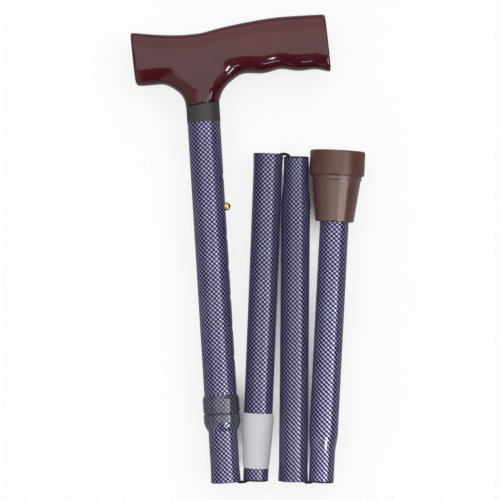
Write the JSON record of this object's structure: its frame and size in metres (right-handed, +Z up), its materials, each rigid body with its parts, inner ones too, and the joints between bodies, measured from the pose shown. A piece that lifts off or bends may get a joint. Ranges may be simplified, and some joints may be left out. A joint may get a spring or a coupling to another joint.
{
  "type": "folding walking cane",
  "caption": "Folding walking cane with a T handle, push-button height setting, twist lock and rubber tip; swaged tube sections on an elastic cord fold side by side.",
  "frame": {"origin": "under the middle of the folded cane, on the surface it lies on", "axes": "+Z up off the surface, +Y along the folded length towards the handle, +X from the handle's section towards the tip's section"},
  "size_m": [0.1549, 0.311, 0.0364],
  "materials": {
    "handle": "glossy burgundy",
    "bush": "satin grey",
    "tube": "printed navy and silver check",
    "lock": "printed grey check",
    "collet": "plain",
    "steel": "bright",
    "plug": "satin black",
    "cord": "braided black",
    "button": "polished",
    "label": "matt white paper",
    "tip": "matt brown"
  },
  "bodies": {
    "upper": {"handle": "handle", "handle_bush": "bush", "outer_tube": "tube", "lock_socket": "lock", "lock_collet": "collet"},
    "lock_nut": {"lock_nut": "lock"},
    "shaft_1": {"inner_tube": "tube", "button_spring": "steel", "cord_plug_top": "plug", "cord_1": "cord"},
    "button": {"height_button": "button"},
    "link_1": {"cord_bend_1": "cord"},
    "section_2": {"tube_2": "tube", "spigot_bush_2": "plug", "label_sleeve": "label", "cord_2": "cord"},
    "link_2": {"cord_bend_2": "cord"},
    "section_3": {"tube_3": "tube", "spigot_bush_3": "plug", "cord_3": "cord"},
    "link_3": {"cord_bend_3": "cord"},
    "section_4": {"tube_4": "tube", "spigot_bush_4": "plug", "cord_4": "cord", "cord_plug_bottom": "plug", "rubber_tip": "tip", "tip_washer": "steel"}
  },
  "joints": [
    {"name": "height_adjust", "type": "slide", "parent": "upper", "child": "shaft_1", "axis": [0.0613, -0.9981, 0], "range_m": [-0.02, 0.1]},
    {"name": "lock_turn", "type": "hinge", "parent": "upper", "child": "lock_nut", "pos_m": [-0.01702, -0.11322, 0.0182], "axis": [-0.0613, 0.9981, 0], "range_deg": [0, 180]},
    {"name": "button_press", "type": "slide", "parent": "shaft_1", "child": "button", "axis": [-0.9981, -0.0613, 0], "range_m": [0, 0.0047], "stiffness_N_per_m": 1200, "deforming": ["button_spring"]},
    {"name": "seat_1", "type": "slide", "parent": "shaft_1", "child": "link_1", "axis": [-0.0613, 0.9981, 0], "range_m": [0, 0.02397], "deforming": ["label_sleeve"]},
    {"name": "fold_1", "type": "hinge", "parent": "link_1", "child": "section_2", "pos_m": [-0.0048, -0.15235, 0.0182], "axis": [0, 0, -1], "range_deg": [0, 174.24], "deforming": ["cord_bend_1"]},
    {"name": "seat_2", "type": "slide", "parent": "section_2", "child": "link_2", "axis": [-0.0391, -0.9992, 0], "range_m": [0, 0.02397]},
    {"name": "fold_2", "type": "hinge", "parent": "link_2", "child": "section_3", "pos_m": [0.02265, 0.0626, 0.0182], "axis": [0, 0, 1], "range_deg": [0, 178.33], "deforming": ["cord_bend_2"]},
    {"name": "seat_3", "type": "slide", "parent": "section_3", "child": "link_3", "axis": [0.0099, 1, 0], "range_m": [0, 0.02397]},
    {"name": "fold_3", "type": "hinge", "parent": "link_3", "child": "section_4", "pos_m": [0.03895, -0.15277, 0.0182], "axis": [0, 0, -1], "range_deg": [0, 177.65], "deforming": ["cord_bend_3"]}
  ],
  "couplings": [
    {"joint": "fold_2", "follows": "fold_1", "ratio": 1.0234},
    {"joint": "fold_3", "follows": "fold_1", "ratio": 1.0196}
  ]
}
